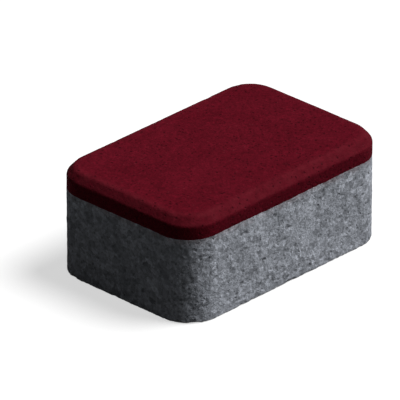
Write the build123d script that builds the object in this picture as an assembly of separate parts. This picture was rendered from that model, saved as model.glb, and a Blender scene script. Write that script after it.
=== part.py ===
from build123d import *
import os

# A pressed concrete paving stone: an oblong block with rounded upright corners, made in two layers.
# The long sides run along X, the stone is centred on the origin in plan and it lies on z = 0.
# Millimetres throughout.

# Plan of the stone
length = 172.0          # over the two end faces, along X
width = 115.0           # over the two long sides, along Y
corner_radius = 22.0    # upright corners

# Heights of the two layers
backing_height = 56.0   # grey body concrete
face_height = 14.0      # burgundy wearing layer pressed on top of it

# Edges
bevel_width = 5.0       # bevel round the wearing face, seen from above
bevel_drop = 5.5        # the same bevel, seen from the side
arris_round = 2.0       # softened line where the flat top meets the bevel
shoulder_round = 1.5    # softened line where the bevel meets the upright rim
foot_round = 0.8        # softened lower edge, as it leaves the mould


def plan_outline():
    """Rectangle with rounded corners, in the XY plane."""
    return RectangleRounded(length, width, corner_radius)


def top_edges(solid):
    """Edges round the highest face of a solid."""
    return solid.faces().sort_by(Axis.Z)[-1].edges()


def backing():
    """Grey body, with its lower edge softened and its upper face left square to carry the wearing layer."""
    block = extrude(plan_outline(), backing_height)
    bed = block.faces().sort_by(Axis.Z)[0]
    return fillet(bed.edges(), foot_round)


def face_layer():
    """Burgundy wearing layer, seated on the backing, with a softened bevel round its top."""
    seat = Pos(0, 0, backing_height)
    slab = extrude(seat * plan_outline(), face_height)
    top = slab.faces().sort_by(Axis.Z)[-1]
    slab = chamfer(top.edges(), bevel_width, bevel_drop, reference=top)
    slab = fillet(top_edges(slab), arris_round)
    shoulder_z = backing_height + face_height - bevel_drop
    shoulder = slab.edges().filter_by_position(Axis.Z, shoulder_z - 0.01, shoulder_z + 0.01)
    return fillet(shoulder, shoulder_round)


os.makedirs("parts", exist_ok=True)
export_step(backing(), "parts/backing.step")
export_step(face_layer(), "parts/face_layer.step")
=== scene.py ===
# A pressed concrete paving stone: a grey backing under a burgundy wearing layer with a bevelled edge.
import math

import bpy
import numpy as np
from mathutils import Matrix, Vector, noise


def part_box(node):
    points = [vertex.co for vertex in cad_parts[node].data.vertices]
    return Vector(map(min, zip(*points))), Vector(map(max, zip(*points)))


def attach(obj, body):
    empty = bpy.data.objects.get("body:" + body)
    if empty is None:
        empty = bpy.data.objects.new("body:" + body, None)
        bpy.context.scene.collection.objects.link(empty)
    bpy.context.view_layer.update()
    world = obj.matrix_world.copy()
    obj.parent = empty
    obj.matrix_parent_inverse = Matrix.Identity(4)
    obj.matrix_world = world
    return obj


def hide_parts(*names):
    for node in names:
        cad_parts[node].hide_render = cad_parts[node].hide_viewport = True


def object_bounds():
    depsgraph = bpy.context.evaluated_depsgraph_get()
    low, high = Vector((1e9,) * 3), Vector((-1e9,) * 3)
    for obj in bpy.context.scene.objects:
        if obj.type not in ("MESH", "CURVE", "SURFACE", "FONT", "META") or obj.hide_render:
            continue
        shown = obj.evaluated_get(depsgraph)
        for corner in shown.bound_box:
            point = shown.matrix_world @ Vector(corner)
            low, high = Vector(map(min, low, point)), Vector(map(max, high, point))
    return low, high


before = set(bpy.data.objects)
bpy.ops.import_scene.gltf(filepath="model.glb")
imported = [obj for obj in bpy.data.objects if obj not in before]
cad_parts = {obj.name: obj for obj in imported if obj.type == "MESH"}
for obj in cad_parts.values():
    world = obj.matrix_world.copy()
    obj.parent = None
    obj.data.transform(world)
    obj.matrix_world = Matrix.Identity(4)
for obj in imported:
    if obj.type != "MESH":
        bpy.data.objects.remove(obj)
cad_low, cad_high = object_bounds()

MM = 0.001

# Plan of the stone, in millimetres, as in the frame
LENGTH = (cad_high.x - cad_low.x) / MM
WIDTH = (cad_high.y - cad_low.y) / MM
CORNER_RADIUS = 22.0

# Edges, in millimetres
BEVEL_WIDTH = 5.0
BEVEL_DROP = 5.5
ARRIS_ROUND = 4.0
SHOULDER_ROUND = 3.2
FOOT_ROUND = 1.0

# Heights, in millimetres
SEAM_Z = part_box("face_layer")[0].z / MM
TOP_Z = cad_high.z / MM
SHOULDER_Z = TOP_Z - BEVEL_DROP

# Seam of the layers, in millimetres: how far both stand back there, and the height over which it wanders
SEAM_SKIN = 0.24
WAVE_REACH = 4.0

# Mesh: segments along the long and short sides of the plan
FACE_GRID = (270, 184)
BACKING_GRID = (220, 150)

# Mesh: the step down the sides, in millimetres, and the fewest steps round an arc
FACE_STEP = 0.5
BACKING_STEP = 0.76
MIN_ARC_STEPS = 3

# Mesh, in millimetres: the level run inside the edges, and the inset of the plates hidden at the seam
FLAT_RUN = 3.0
PLATE_INSET = 3.0

# Smallest height that counts as a difference, in millimetres
TOLERANCE = 0.001

# How far one seed moves the noise and the pits, in cells of their own
NOISE_SEED_STEP = np.array((7.31, 3.17, 5.53))
PITS_SEED_STEP = np.array((2.9, 4.7, 1.3))

# Materials: the range in which a noise node's values mostly lie, and how much a surface shines
NOISE_LOW = 0.3
NOISE_HIGH = 0.7
SHINE = 0.05

# Light and floor
KEY_STRENGTH = 3.53
KEY_SPREAD = math.radians(34)
KEY_FROM = Vector((0.405, -0.340, 0.849))
FILL_STRENGTH = 0.045
BACKDROP_STRENGTH = 1.0
FLOOR_SIZE = 40
FLOOR_SHADE = 0.50
FLOOR_GLOW = 0.62
FLOOR_BOUNCE = 0.05

# View at the photograph's angle, in metres, aimed a little to the left so that the shadow is in the picture
AZIMUTH = math.radians(-46.3)
ELEVATION = math.radians(27.2)
DISTANCE = 5.0
WIDTH_SEEN = 0.240
AIM_LEFT = 0.012


def rounded_plan(long_count, short_count):
    """Points and outward normals round the plan, anticlockwise from the middle of the front left corner."""
    x, y = LENGTH / 2 - CORNER_RADIUS, WIDTH / 2 - CORNER_RADIUS
    centres = np.array([(-x, -y), (x, -y), (x, y), (-x, y)])
    arc = CORNER_RADIUS * math.pi / 4
    points = []
    normals = []
    for i in range(4):
        start, end = centres[i], centres[(i + 1) % 4]
        straight = np.linalg.norm(end - start)
        along = (end - start) / straight
        heading = math.atan2(-along[0], along[1])
        count = (long_count, short_count)[i % 2]
        for step in range(count):
            run = (2 * arc + straight) * step / count
            turn = min(run - arc, 0) + max(run - arc - straight, 0)
            angle = heading + turn / CORNER_RADIUS
            centre = start + along * min(max(run - arc, 0), straight)
            normal = np.array((math.cos(angle), math.sin(angle)))
            points.append(centre + CORNER_RADIUS * normal)
            normals.append(normal)
    return np.array(points), np.array(normals)


def rounded_path(stops, radii, step):
    """Open path through the stops, its inner ones rounded, as points and normals on its left side."""
    stops = [np.array(s, float) for s in stops]
    dirs = [(b - a) / np.linalg.norm(b - a) for a, b in zip(stops, stops[1:])]
    points = []
    normals = []
    start = stops[0]
    for i, direction in enumerate(dirs):
        last = i + 1 == len(dirs)
        turn = 0.0
        back = 0.0
        if not last:
            cross = direction[0] * dirs[i + 1][1] - direction[1] * dirs[i + 1][0]
            turn = math.atan2(cross, direction @ dirs[i + 1])
            back = radii[i] * math.tan(abs(turn) / 2)
        end = stops[i + 1]
        run_end = end - direction * back
        side = np.array((-direction[1], direction[0]))
        count = max(1, round(np.linalg.norm(run_end - start) / step))
        for k in range(count + last):
            points.append(start + (run_end - start) * k / count)
            normals.append(side)
        if turn:
            to_centre = radii[i] * math.copysign(1, turn)
            centre = run_end + side * to_centre
            arcs = max(MIN_ARC_STEPS, round(radii[i] * abs(turn) / step))
            for k in range(arcs):
                angle = turn * k / arcs
                c, s = math.cos(angle), math.sin(angle)
                normal = np.array((side[0] * c - side[1] * s, side[0] * s + side[1] * c))
                points.append(centre - normal * to_centre)
                normals.append(normal)
            start = end + dirs[i + 1] * back
    return np.array(points), np.array(normals)


def cap_grid(ring, long_count, short_count):
    """Inside of a closed ring as a grid of points, blended between its four sides."""
    n, m = long_count, short_count
    front = ring[0:n + 1]
    right = ring[n:n + m + 1]
    back = ring[n + m:2 * n + m + 1][::-1]
    left = np.vstack([ring[2 * n + m:], ring[:1]])[::-1]
    u = np.linspace(0, 1, n + 1)[None, :, None]
    v = np.linspace(0, 1, m + 1)[:, None, None]
    sides = (1 - v) * front[None] + v * back[None] + (1 - u) * left[:, None] + u * right[:, None]
    ends = ((1 - u) * (1 - v) * front[0] + u * (1 - v) * front[-1]
            + (1 - u) * v * back[0] + u * v * back[-1])
    return sides - ends


def with_third(pairs, value):
    """The pairs of numbers given, each with the same third one added."""
    return np.column_stack([pairs, np.full(len(pairs), value)])


class Shell:
    """A closed skin: rings round the plan that follow a profile, a grid at one end, a plate at the other.

    The profile is a path of insets and heights, with its normals. The points and normals are those of the
    rings, from the first to the last, and then those inside the grid.
    """

    def __init__(self, grid, path, path_normals, grid_first):
        self.grid = grid
        self.grid_first = grid_first
        self.count = len(path)
        plan, outward = rounded_plan(*grid)
        self.around = len(plan)
        rings = [with_third(plan - outward * inset, z) for inset, z in path]
        ring_normals = [with_third(outward * across, up) for across, up in path_normals]
        edge = rings[0 if grid_first else -1]
        inside = cap_grid(edge[:, :2], *grid)[1:-1, 1:-1].reshape(-1, 2)
        inside_normal = (0, 0, 1) if grid_first else (0, 0, -1)
        self.points = np.vstack([*rings, with_third(inside, edge[0, 2])])
        self.normals = np.vstack([*ring_normals, np.tile(inside_normal, (len(inside), 1))])

    def ring_start(self, out):
        """Index of the first point of a ring, counted outwards from the one round the plate."""
        return (self.count - 1 - out if self.grid_first else out) * self.around

    def faces(self):
        """Quads round the rings and over the grid, and one plate that closes the hidden end."""
        around, (n, m) = self.around, self.grid
        quads = []
        for a in range(0, (self.count - 1) * around, around):
            b = a + around
            for i in range(around):
                j = (i + 1) % around
                quads.append((a + i, b + i, b + j, a + j))
        edge = 0 if self.grid_first else (self.count - 1) * around
        index = np.empty((m + 1, n + 1), int)
        index[0, :] = edge + np.arange(n + 1)
        index[:, n] = edge + n + np.arange(m + 1)
        index[m, ::-1] = edge + n + m + np.arange(n + 1)
        index[::-1, 0] = edge + (2 * n + m + np.arange(m + 1)) % around
        index[1:-1, 1:-1] = self.count * around + np.arange((m - 1) * (n - 1)).reshape(m - 1, n - 1)
        for v in range(m):
            for u in range(n):
                quad = (index[v, u], index[v, u + 1], index[v + 1, u + 1], index[v + 1, u])
                quads.append(quad if self.grid_first else quad[::-1])
        plate = tuple(self.ring_start(0) + i for i in range(around))
        quads.append(plate[::-1] if self.grid_first else plate)
        return quads


def blur_noise(points, size, seed, depth=1.0):
    """Smooth noise at each point, from -depth to depth; size is in millimetres, one or three numbers."""
    scaled = points / np.array(size, float) + seed * NOISE_SEED_STEP
    return depth * np.array([noise.noise(Vector(p)) for p in scaled])


def cell_key(centre):
    """Number from 0 to 1 that looks random and depends only on the middle of a cell."""
    key = math.sin(centre.x * 12.9898 + centre.y * 78.233 + centre.z * 37.719) * 43758.5453
    return key - math.floor(key)


def pits(points, size, share, seed, reach):
    """Depth from 0 to 1 of scattered ragged pits, in a share of the cells of a size in millimetres.

    The reach is that of the smallest and of the largest pit, as a part of the size.
    """
    ragged_size, ragged_reach = 0.38, 0.36
    ragged_seeds = (seed + 0.1, seed + 0.2, seed + 0.3)
    ragged = np.column_stack([blur_noise(points, size * ragged_size, s) for s in ragged_seeds])
    depth = np.zeros(len(points))
    for i, p in enumerate(points / size + seed * PITS_SEED_STEP + ragged_reach * ragged):
        distances, centres = noise.voronoi(Vector(p))
        key = cell_key(centres[0])
        if key < share:
            radius = reach[0] + (reach[1] - reach[0]) * key / share
            depth[i] = max(0.0, 1 - (distances[0] / radius) ** 2)
    return depth


def bites(points, size, seed, above):
    """Depth from 0 to 1 of scattered bites, which lie where smooth noise is above a level."""
    return np.clip(blur_noise(points, size, seed) - above, 0, 1)


def fade(values, zero, one):
    """0 where a value is at the first number, 1 where it is at the second, held beyond them."""
    return np.clip((values - zero) / (one - zero), 0, 1)


def near(values, target, reach):
    """1 where a value is at its target, 0 where it is more than the reach away."""
    return fade(np.abs(values - target), reach, 0)


def inset_of(points):
    """How far each point lies inside the outline of the plan, in millimetres."""
    past = np.abs(points[:, :2]) - (LENGTH / 2 - CORNER_RADIUS, WIDTH / 2 - CORNER_RADIUS)
    outside = np.linalg.norm(np.maximum(past, 0), axis=1)
    return CORNER_RADIUS - outside - np.minimum(past.max(axis=1), 0)


def moved(shell, inward, seam_reach):
    """The shell's points, each moved inwards by its own distance, in millimetres.

    At the seam both layers wander up and down together and stand back by the same distance, so that
    they are flush.
    """
    rest = shell.points
    level = rest * (1, 1, 0)
    wave = blur_noise(level, 14, seed=1, depth=0.45) + blur_noise(level, 4, seed=2, depth=0.25)
    wave = wave * fade(inset_of(rest), PLATE_INSET, 0)
    seam_inward = SEAM_SKIN + blur_noise(level, 5, seed=18, depth=0.12)

    meet = near(rest[:, 2], SEAM_Z, seam_reach)
    inward = inward * (1 - meet) + seam_inward * meet
    points = rest - shell.normals * inward[:, None]
    points[:, 2] += near(rest[:, 2], SEAM_Z, WAVE_REACH) * wave
    return points


def make_mesh(name, shell, points, attributes):
    """Object with smooth shading but a sharp edge at the seam, from a shell and its moved points."""
    mesh = bpy.data.meshes.new(name)
    mesh.from_pydata((points * MM).tolist(), [], shell.faces())
    mesh.validate()
    mesh.polygons.foreach_set("use_smooth", [True] * len(mesh.polygons))
    ends = np.empty(2 * len(mesh.edges), int)
    mesh.edges.foreach_get("vertices", ends)
    seam = shell.ring_start(1)
    on_seam = (ends >= seam) & (ends < seam + shell.around)
    mesh.edges.foreach_set("use_edge_sharp", on_seam.reshape(-1, 2).all(axis=1))
    for label, values in attributes.items():
        layer = mesh.attributes.new(label, "FLOAT", "POINT")
        layer.data.foreach_set("value", values.astype(np.float32))
    obj = bpy.data.objects.new(name, mesh)
    bpy.context.scene.collection.objects.link(obj)
    return obj


def face_layer():
    """Burgundy wearing layer: flat top, worn bevel, upright rim with drag marks and the wandering seam."""
    # Depths below the solid's surface, in millimetres
    skin, rim_skin = 0.14, 0.05
    hole_depth, bite_depth = 0.30, 0.8
    least, most = 0.02, 2.0
    # Half the height over which the bevel turns into the rim, in millimetres
    rim_soft = 0.5
    # Insets between which the paler edge, a painted highlight that is patchy like rubbing, fades out, in
    # millimetres, and its falloff
    highlight_and_rub_start, highlight_and_rub_end, highlight_and_rub_falloff = BEVEL_WIDTH + 0.5, BEVEL_WIDTH + 5.5, 1.5
    # The arris and the shoulder of the bevel: height, how far the wear reaches, and seed
    worn_edges = ((TOP_Z - 0.5, 1.3, 9), (SHOULDER_Z, 1.5, 10))

    stops = [(BEVEL_WIDTH + FLAT_RUN, TOP_Z), (BEVEL_WIDTH, TOP_Z), (0, SHOULDER_Z), (0, SEAM_Z)]
    path, side = rounded_path(stops, [ARRIS_ROUND, SHOULDER_ROUND], FACE_STEP)
    path = np.vstack([path, (PLATE_INSET, SEAM_Z)])
    path_normals = np.vstack([side * (1, -1), (0, 0)])
    shell = Shell(FACE_GRID, path, path_normals, grid_first=True)
    rest = shell.points
    z = rest[:, 2]
    rim = fade(z, SHOULDER_Z + rim_soft, SHOULDER_Z - rim_soft)

    grain = blur_noise(rest, 1.7, seed=3, depth=0.045) + blur_noise(rest, 3.4, seed=4, depth=0.03)
    swell = blur_noise(rest, 32, seed=5, depth=0.07) + blur_noise(rest, 9, seed=6, depth=0.03)
    holes = pits(rest, size=4.2, share=0.16, seed=7, reach=(0.12, 0.30))
    drag = blur_noise(rest, (1.8, 1.8, 16), seed=8, depth=0.09)
    inward = skin + swell + grain + hole_depth * holes + rim * (rim_skin + drag)

    below_top = z <= TOP_Z - TOLERANCE
    for edge_z, reach, seed in worn_edges:
        worn = near(z, edge_z, reach) * below_top * bites(rest, 5.5, seed, above=0.25)
        inward = inward + worn * bite_depth
    inward = np.clip(inward, least, most)

    # The paler band round the bevel and the edge of the top is painted highlight, patchy like rubbing
    highlight_and_rub = fade(inset_of(rest), highlight_and_rub_end, highlight_and_rub_start) ** highlight_and_rub_falloff
    piece = make_mesh("wearing_layer", shell, moved(shell, inward, seam_reach=1.2), {
        "bevel": (1 - rim) * highlight_and_rub,
        "hole": holes,
    })
    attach(piece, "root")
    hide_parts("face_layer")
    return piece


def backing():
    """Grey body: coarse upright sides with pits and drag marks, a crumbled foot and the rough bed face."""
    # Depths below the solid's surface, in millimetres
    skin, least = 0.26, 0.02
    hole_depth, small_depth, crumble_depth = 0.50, 0.36, 1.3
    foot_most, side_most = 0.92 * FOOT_ROUND, 0.92 * FOOT_ROUND + 1.6
    # Heights, in millimetres: where the foot crumbles, how far that reaches, and how far the red does
    crumble_z, crumble_reach, red_reach = 0.3, 2.0, 5.0
    # How dark the painted shade in a small pit is, against a large one
    small_shade = 0.8

    stops = [(0, SEAM_Z), (0, 0), (FLAT_RUN, 0)]
    path, side = rounded_path(stops, [FOOT_ROUND], BACKING_STEP)
    path = np.vstack([(PLATE_INSET, SEAM_Z), path])
    path_normals = np.vstack([(0, 0), side * (1, -1)])
    shell = Shell(BACKING_GRID, path, path_normals, grid_first=False)
    rest = shell.points
    z = rest[:, 2]

    stones = blur_noise(rest, 4.5, seed=11, depth=0.13) + blur_noise(rest, 2.2, seed=12, depth=0.16)
    swell = blur_noise(rest, 26, seed=13, depth=0.08)
    holes = pits(rest, size=4.0, share=0.26, seed=14, reach=(0.15, 0.50))
    small = pits(rest, size=2.1, share=0.42, seed=15, reach=(0.25, 0.50))
    drag = blur_noise(rest, (1.8, 1.8, 20), seed=16, depth=0.12)
    inward = skin + stones + swell + drag + hole_depth * holes + small_depth * small

    # The foot crumbles no deeper than its own rounding, or the mesh would fold over there
    crumble = near(z, crumble_z, crumble_reach) * bites(rest, 7, seed=17, above=0.1)
    most = np.clip(foot_most + z - FOOT_ROUND, foot_most, side_most)
    inward = np.clip(inward + crumble * crumble_depth, least, most)

    piece = make_mesh("backing_body", shell, moved(shell, inward, seam_reach=1.6), {
        "hole": np.clip(holes + small_shade * small, 0, 1),
        "seam": fade(z, SEAM_Z - red_reach, SEAM_Z),
    })
    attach(piece, "root")
    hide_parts("backing")
    return piece


class Nodes:
    """Short calls that add and join nodes of one material. Sizes are in millimetres."""

    def __init__(self, name):
        self.material = bpy.data.materials.new(name)
        self.material.use_nodes = True
        self.tree = self.material.node_tree
        self.shader = self.tree.nodes["Principled BSDF"]
        self.place = self.add("ShaderNodeTexCoord").outputs["Object"]
        self.ragged = self.place

    def add(self, kind, **settings):
        """A new node with its settings."""
        node = self.tree.nodes.new(kind)
        for key, value in settings.items():
            setattr(node, key, value)
        return node

    def put(self, source, socket):
        """Feed a socket from another one, or set it to a value."""
        if isinstance(source, bpy.types.NodeSocket):
            self.tree.links.new(source, socket)
        else:
            socket.default_value = source

    def noise(self, size_mm, detail=2.0, rough=0.5, stretch=(1, 1, 1)):
        """Noise of the given feature size, from 0 to 1."""
        mapping = self.add("ShaderNodeMapping")
        self.put(self.place, mapping.inputs["Vector"])
        self.put(stretch, mapping.inputs["Scale"])
        node = self.add("ShaderNodeTexNoise")
        self.put(mapping.outputs[0], node.inputs["Vector"])
        self.put(1 / (size_mm * MM), node.inputs["Scale"])
        self.put(detail, node.inputs["Detail"])
        self.put(rough, node.inputs["Roughness"])
        return node.outputs["Fac"]

    def roughen(self, size_mm, reach_mm):
        """Let the cells and specks that follow have ragged edges, by noise of the given size and reach."""
        node = self.add("ShaderNodeTexNoise")
        self.put(self.place, node.inputs["Vector"])
        self.put(1 / (size_mm * MM), node.inputs["Scale"])
        centred = self.add("ShaderNodeVectorMath", operation="SUBTRACT")
        self.put(node.outputs["Color"], centred.inputs[0])
        self.put((0.5, 0.5, 0.5), centred.inputs[1])
        shifted = self.add("ShaderNodeVectorMath", operation="ADD")
        self.put(self.place, shifted.inputs[0])
        self.put(self.scale(centred.outputs[0], 2 * reach_mm * MM), shifted.inputs[1])
        self.ragged = shifted.outputs[0]

    def cells(self, size_mm, output="Color"):
        """One random colour in each cell of the given size, or the distance to its middle."""
        node = self.add("ShaderNodeTexVoronoi")
        self.put(self.ragged, node.inputs["Vector"])
        self.put(1 / (size_mm * MM), node.inputs["Scale"])
        return node.outputs[output]

    def specks(self, size_mm, share, reach):
        """Ragged dots, 1 at their middles, in a share of the cells; their reach is a part of the size."""
        chosen = self.ramp(self.cells(size_mm), 1 - share, 1 - share + 0.02)
        dot = self.ramp(self.cells(size_mm, "Distance"), reach, reach / 2)
        return self.math("MULTIPLY", chosen, dot)

    def attribute(self, name):
        """A value that the mesh holds at each point."""
        return self.add("ShaderNodeAttribute", attribute_name=name).outputs["Fac"]

    def ramp(self, value, low, high, out_low=0.0, out_high=1.0):
        """Value from low to high, spread over a new range and held at its ends."""
        node = self.add("ShaderNodeMapRange", clamp=True)
        self.put(value, node.inputs["Value"])
        self.put(low, node.inputs["From Min"])
        self.put(high, node.inputs["From Max"])
        self.put(out_low, node.inputs["To Min"])
        self.put(out_high, node.inputs["To Max"])
        return node.outputs[0]

    def clouds(self, size_mm):
        """Soft patches of the given size, from 0 to 1."""
        return self.ramp(self.noise(size_mm, detail=3.0), low=0.35, high=0.65)

    def noise_level(self, darkest, lightest, **noise_settings):
        """Level that varies smoothly from darkest to lightest, where 1 leaves a colour as it is."""
        return self.ramp(self.noise(**noise_settings), NOISE_LOW, NOISE_HIGH, darkest, lightest)

    def cell_level(self, darkest, lightest, size_mm):
        """Level that differs from cell to cell, from darkest to lightest."""
        return self.ramp(self.cells(size_mm), 0.0, 1.0, darkest, lightest)

    def math(self, operation, a, b):
        """One step of arithmetic with two numbers."""
        node = self.add("ShaderNodeMath", operation=operation)
        self.put(a, node.inputs[0])
        self.put(b, node.inputs[1])
        return node.outputs[0]

    def mix(self, share, a, b):
        """Colour a, with the given share of colour b in it."""
        node = self.add("ShaderNodeMix", data_type="RGBA")
        self.put(share, node.inputs["Factor"])
        # The node has an A and a B for each kind of data: inputs 6 and 7 and output 2 are the colours
        for source, socket in ((a, node.inputs[6]), (b, node.inputs[7])):
            self.put((*source, 1.0) if isinstance(source, tuple) else source, socket)
        return node.outputs[2]

    def stain(self, colour, tint, where, strength):
        """A colour with a tint in it: none where the value is 0, and the given strength where it is 1."""
        return self.mix(self.math("MULTIPLY", where, strength), colour, tint)

    def scale(self, colour, *levels):
        """A colour made lighter or darker by levels, where 1 leaves it as it is."""
        for level in levels:
            node = self.add("ShaderNodeVectorMath", operation="SCALE")
            self.put(colour, node.inputs[0])
            self.put(level, node.inputs["Scale"])
            colour = node.outputs[0]
        return colour

    def bump(self, height, strength, reach_mm, under=None):
        """Normal of small relief, on top of another one if given."""
        node = self.add("ShaderNodeBump")
        self.put(strength, node.inputs["Strength"])
        self.put(reach_mm * MM, node.inputs["Distance"])
        self.put(height, node.inputs["Height"])
        if under is not None:
            self.put(under, node.inputs["Normal"])
        return node.outputs["Normal"]

    def finish(self, colour, normal, roughness):
        """The material, with its colour, normal and roughness joined to a shader that hardly shines."""
        self.put(colour, self.shader.inputs["Base Color"])
        self.put(roughness, self.shader.inputs["Roughness"])
        self.put(normal, self.shader.inputs["Normal"])
        self.put(SHINE, self.shader.inputs["Specular IOR Level"])
        return self.material


def burgundy_concrete():
    """Fine coloured wearing concrete: faint clouds, sandy grain, pinholes darkened with painted shade, pale
    sand and a paler bevel of painted highlight, patchy like rubbing.
    """
    deep, bright = (0.096, 0.0029, 0.0093), (0.110, 0.0040, 0.0115)
    # The paler of these colours is painted highlight for the bevel, patchy like rubbing
    pale_sand, highlight_and_rub = (0.20, 0.035, 0.045), (0.124, 0.0112, 0.0185)
    # The two darkest colours are painted shade for the pores and the pits
    painted_pore_shade, painted_hole_shade = (0.025, 0.001, 0.003), (0.03, 0.001, 0.003)

    n = Nodes("burgundy_concrete")
    n.roughen(size_mm=0.9, reach_mm=0.45)
    colour = n.scale(
        n.mix(n.clouds(size_mm=24), deep, bright),
        n.noise_level(0.74, 1.26, size_mm=1.1, detail=3.0, rough=0.7),
        n.cell_level(0.78, 1.22, size_mm=1.3),
        n.cell_level(0.92, 1.08, size_mm=2.4),
        n.noise_level(0.92, 1.08, size_mm=5.0))
    sand = n.specks(size_mm=1.9, share=0.14, reach=0.34)
    colour = n.stain(colour, pale_sand, sand, strength=0.30)
    # Painted highlight on the bevel and the edge of the top, in patches like rubbing
    highlight_and_rub_patches = n.ramp(n.noise(size_mm=5, detail=3.0), low=0.3, high=0.65, out_low=0.15, out_high=0.6)
    colour = n.mix(n.math("MULTIPLY", n.attribute("bevel"), highlight_and_rub_patches), colour, highlight_and_rub)
    pores = n.math("MAXIMUM", n.specks(size_mm=2.6, share=0.34, reach=0.34),
                   n.specks(size_mm=1.5, share=0.14, reach=0.36))
    # Pores and pits are darkened: painted shade in hollows that the bump and the mesh also sink
    colour = n.stain(colour, painted_pore_shade, pores, strength=0.6)
    colour = n.stain(colour, painted_hole_shade, n.attribute("hole"), strength=0.5)
    sandy = n.math("SUBTRACT", n.noise(size_mm=1.0, detail=3.0, rough=0.7), pores)
    normal = n.bump(sandy, strength=0.7, reach_mm=0.45)
    normal = n.bump(n.noise(size_mm=2.6), strength=0.4, reach_mm=0.6, under=normal)
    return n.finish(colour, normal, roughness=0.92)


def grey_concrete():
    """Coarse body concrete: pale and dark stones, open pores darkened with painted shade, drag marks and a
    little red at the seam.
    """
    dark, light = (0.426, 0.449, 0.500), (0.500, 0.526, 0.585)
    # Painted shade for the pores and the pits
    painted_pore_shade, painted_hole_shade = (0.10, 0.105, 0.115), (0.16, 0.165, 0.175)
    red_cement = (0.50, 0.34, 0.35)

    n = Nodes("grey_concrete")
    n.roughen(size_mm=1.4, reach_mm=0.7)
    colour = n.scale(
        n.mix(n.clouds(size_mm=22), dark, light),
        n.cell_level(0.64, 1.36, size_mm=3.8),
        n.cell_level(0.76, 1.24, size_mm=1.6),
        n.noise_level(0.72, 1.30, size_mm=1.8, detail=3.0, rough=0.7),
        n.noise_level(0.9, 1.1, size_mm=1.6, stretch=(1, 1, 0.09)))
    pores = n.math("MAXIMUM", n.specks(size_mm=3.1, share=0.30, reach=0.36),
                   n.specks(size_mm=1.8, share=0.18, reach=0.38))
    # Pores and pits are darkened with painted shade
    colour = n.stain(colour, painted_pore_shade, pores, strength=0.5)
    colour = n.stain(colour, painted_hole_shade, n.attribute("hole"), strength=0.45)
    patches = n.ramp(n.noise(size_mm=3.5, detail=3.0), low=0.35, high=0.7)
    bleed = n.math("MULTIPLY", n.attribute("seam"), patches)
    colour = n.stain(colour, red_cement, bleed, strength=0.45)
    stony = n.math("SUBTRACT", n.noise(size_mm=1.0, detail=3.0, rough=0.7), pores)
    normal = n.bump(stony, strength=0.8, reach_mm=0.5)
    normal = n.bump(n.noise(size_mm=2.4, detail=3.0), strength=0.4, reach_mm=0.6, under=normal)
    return n.finish(colour, normal, roughness=0.95)


def show_to(rays, shown, otherwise, surface):
    """Join two shaders to a surface: the rays named see the first one, and all others the second."""
    tree = surface.id_data
    both = tree.nodes.new("ShaderNodeMixShader")
    tree.links.new(rays, both.inputs[0])
    tree.links.new(otherwise.outputs[0], both.inputs[1])
    tree.links.new(shown.outputs[0], both.inputs[2])
    tree.links.new(both.outputs[0], surface)


def floor():
    """White floor that keeps the stone's shadow and throws little light back at the stone."""
    bpy.ops.mesh.primitive_plane_add(size=FLOOR_SIZE)
    plane = bpy.context.object
    plane.name = "floor"
    n = Nodes("white_floor")
    n.tree.nodes.remove(n.shader)
    ray = n.add("ShaderNodeLightPath").outputs
    seen = n.math("MAXIMUM", n.math("MAXIMUM", ray["Is Camera Ray"], ray["Is Glossy Ray"]),
                  ray["Is Transmission Ray"])
    lit = n.add("ShaderNodeBsdfDiffuse")
    n.put((FLOOR_SHADE, FLOOR_SHADE, FLOOR_SHADE, 1), lit.inputs["Color"])
    glow = n.add("ShaderNodeEmission")
    n.put(FLOOR_GLOW, glow.inputs["Strength"])
    white = n.add("ShaderNodeAddShader")
    n.put(lit.outputs[0], white.inputs[0])
    n.put(glow.outputs[0], white.inputs[1])
    quiet = n.add("ShaderNodeBsdfDiffuse")
    n.put((FLOOR_BOUNCE, FLOOR_BOUNCE, FLOOR_BOUNCE, 1), quiet.inputs["Color"])
    show_to(seen, white, quiet, n.tree.nodes["Material Output"].inputs["Surface"])
    plane.data.materials.append(n.material)


def light():
    """Soft key from the upper right, a low even fill from the sky, and white behind the stone."""
    key = bpy.data.lights.new("key", "SUN")
    key.energy = KEY_STRENGTH
    key.angle = KEY_SPREAD
    lamp = bpy.data.objects.new("key", key)
    lamp.rotation_mode = "QUATERNION"
    lamp.rotation_quaternion = KEY_FROM.to_track_quat("Z", "Y")
    bpy.context.scene.collection.objects.link(lamp)

    world = bpy.data.worlds.new("studio")
    world.use_nodes = True
    bpy.context.scene.world = world
    nodes = world.node_tree.nodes
    fill = nodes["Background"]
    backdrop = nodes.new("ShaderNodeBackground")
    for sky, strength in ((fill, FILL_STRENGTH), (backdrop, BACKDROP_STRENGTH)):
        sky.inputs["Color"].default_value = (1, 1, 1, 1)
        sky.inputs["Strength"].default_value = strength
    is_camera = nodes.new("ShaderNodeLightPath").outputs["Is Camera Ray"]
    show_to(is_camera, backdrop, fill, nodes["World Output"].inputs["Surface"])
    bpy.context.scene.view_settings.view_transform = "Standard"


def camera():
    """Long lens at the photograph's angle."""
    back = Vector((math.sin(AZIMUTH) * math.cos(ELEVATION),
                   -math.cos(AZIMUTH) * math.cos(ELEVATION),
                   math.sin(ELEVATION)))
    right = Vector((math.cos(AZIMUTH), math.sin(AZIMUTH), 0))
    aim = (cad_low + cad_high) / 2 - right * AIM_LEFT
    data = bpy.data.cameras.new("camera")
    data.sensor_width = 36
    data.lens = data.sensor_width * DISTANCE / WIDTH_SEEN
    data.clip_end = 100
    shot = bpy.data.objects.new("camera", data)
    shot.location = aim + back * DISTANCE
    shot.rotation_mode = "QUATERNION"
    shot.rotation_quaternion = back.to_track_quat("Z", "Y")
    bpy.context.scene.collection.objects.link(shot)
    bpy.context.scene.camera = shot


wearing = face_layer()
wearing.data.materials.append(burgundy_concrete())
body = backing()
body.data.materials.append(grey_concrete())
floor()
light()
camera()
